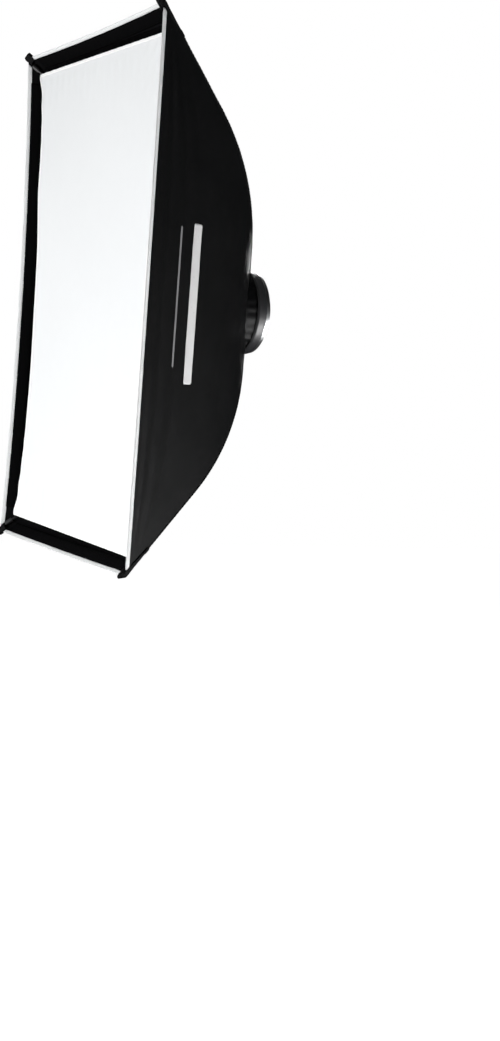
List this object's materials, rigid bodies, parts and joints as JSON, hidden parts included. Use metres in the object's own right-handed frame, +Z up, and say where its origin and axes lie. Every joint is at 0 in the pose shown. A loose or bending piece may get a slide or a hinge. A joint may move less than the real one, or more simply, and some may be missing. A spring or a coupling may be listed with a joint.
{
  "type": "studio softbox",
  "caption": "Rectangular studio softbox on a rotating bayonet speed ring: black cloth box on sprung corner rods, white front diffuser and inner diffuser.",
  "frame": {"origin": "centre of the adapter's seat, the face that meets the light", "axes": "+Y along the throat towards the light, the diffuser faces -Y, +Z up along the long side"},
  "size_m": [0.6094, 0.3685, 0.9142],
  "materials": {
    "wall_cloth": "black coated nylon outside, silver inside",
    "webbing": "coarse black webbing",
    "binding_tape": "light grey stitched tape",
    "loop_tape": "black loop pile",
    "hook_tape": "black hook tape",
    "diffuser_cloth": "white translucent cloth",
    "diffuser_hem": "doubled white cloth",
    "strap_elastic": "black elastic",
    "cast_metal": "machined satin",
    "black_metal": "fine black powder coat",
    "plated_steel": "zinc plated",
    "screw_steel": "dark steel",
    "brass": "satin",
    "black_plastic": "matte moulded",
    "washer_plastic": "slippery white sheet",
    "glass_fibre": "smooth pultruded rod"
  },
  "bodies": {
    "adapter": {"bayonet_adapter": "cast_metal", "friction_washer": "washer_plastic", "retaining_ring": "plated_steel", "retaining_screws": "plated_steel"},
    "softbox": {"speed_ring": "black_metal", "socket_screws": "screw_steel", "rear_collar": "wall_cloth", "collar_strap": "webbing", "front_diffuser": "diffuser_cloth", "inner_diffuser": "diffuser_cloth", "diffuser_hem_top": "hook_tape", "diffuser_hem_bottom": "hook_tape", "diffuser_hem_left": "diffuser_hem", "diffuser_hem_right": "diffuser_hem", "strap_snaps": "plated_steel", "panel_right": "wall_cloth", "edge_binding_right": "binding_tape", "loop_band_right": "loop_tape", "inner_straps_right": "strap_elastic", "panel_left": "wall_cloth", "edge_binding_left": "binding_tape", "loop_band_left": "loop_tape", "inner_straps_left": "strap_elastic", "panel_top": "wall_cloth", "edge_binding_top": "binding_tape", "loop_band_top": "loop_tape", "inner_straps_top": "strap_elastic", "panel_bottom": "wall_cloth", "edge_binding_bottom": "binding_tape", "loop_band_bottom": "loop_tape", "inner_straps_bottom": "strap_elastic", "corner_pocket_upper_right": "webbing", "corner_seam_upper_right": "wall_cloth", "rod_upper_right": "glass_fibre", "rod_tip_upper_right": "black_plastic", "rod_ferrule_upper_right": "plated_steel", "corner_pocket_upper_left": "webbing", "corner_seam_upper_left": "wall_cloth", "rod_upper_left": "glass_fibre", "rod_tip_upper_left": "black_plastic", "rod_ferrule_upper_left": "plated_steel", "corner_pocket_lower_right": "webbing", "corner_seam_lower_right": "wall_cloth", "rod_lower_right": "glass_fibre", "rod_tip_lower_right": "black_plastic", "rod_ferrule_lower_right": "plated_steel", "corner_pocket_lower_left": "webbing", "corner_seam_lower_left": "wall_cloth", "rod_lower_left": "glass_fibre", "rod_tip_lower_left": "black_plastic", "rod_ferrule_lower_left": "plated_steel"},
    "lock_pad": {"clamp_pad": "brass"},
    "lock_spindle": {"lock_screw": "screw_steel", "lock_knob": "black_plastic"}
  },
  "joints": [
    {"name": "ring_turn", "type": "hinge", "parent": "adapter", "child": "softbox", "pos_m": [0, -0.0165, 0], "axis": [0, 1, 0], "continuous": true},
    {"name": "lock_pad_slide", "type": "slide", "parent": "softbox", "child": "lock_pad", "axis": [-1, 0, 0], "range_m": [0, 0.0012]},
    {"name": "lock_knob_turn", "type": "hinge", "parent": "lock_pad", "child": "lock_spindle", "pos_m": [-0.08, -0.0145, 0], "axis": [-1, 0, 0], "range_deg": [0, 540]}
  ],
  "couplings": [
    {"joint": "lock_knob_turn", "follows": "lock_pad_slide", "rad_per_m": 7853.9}
  ]
}
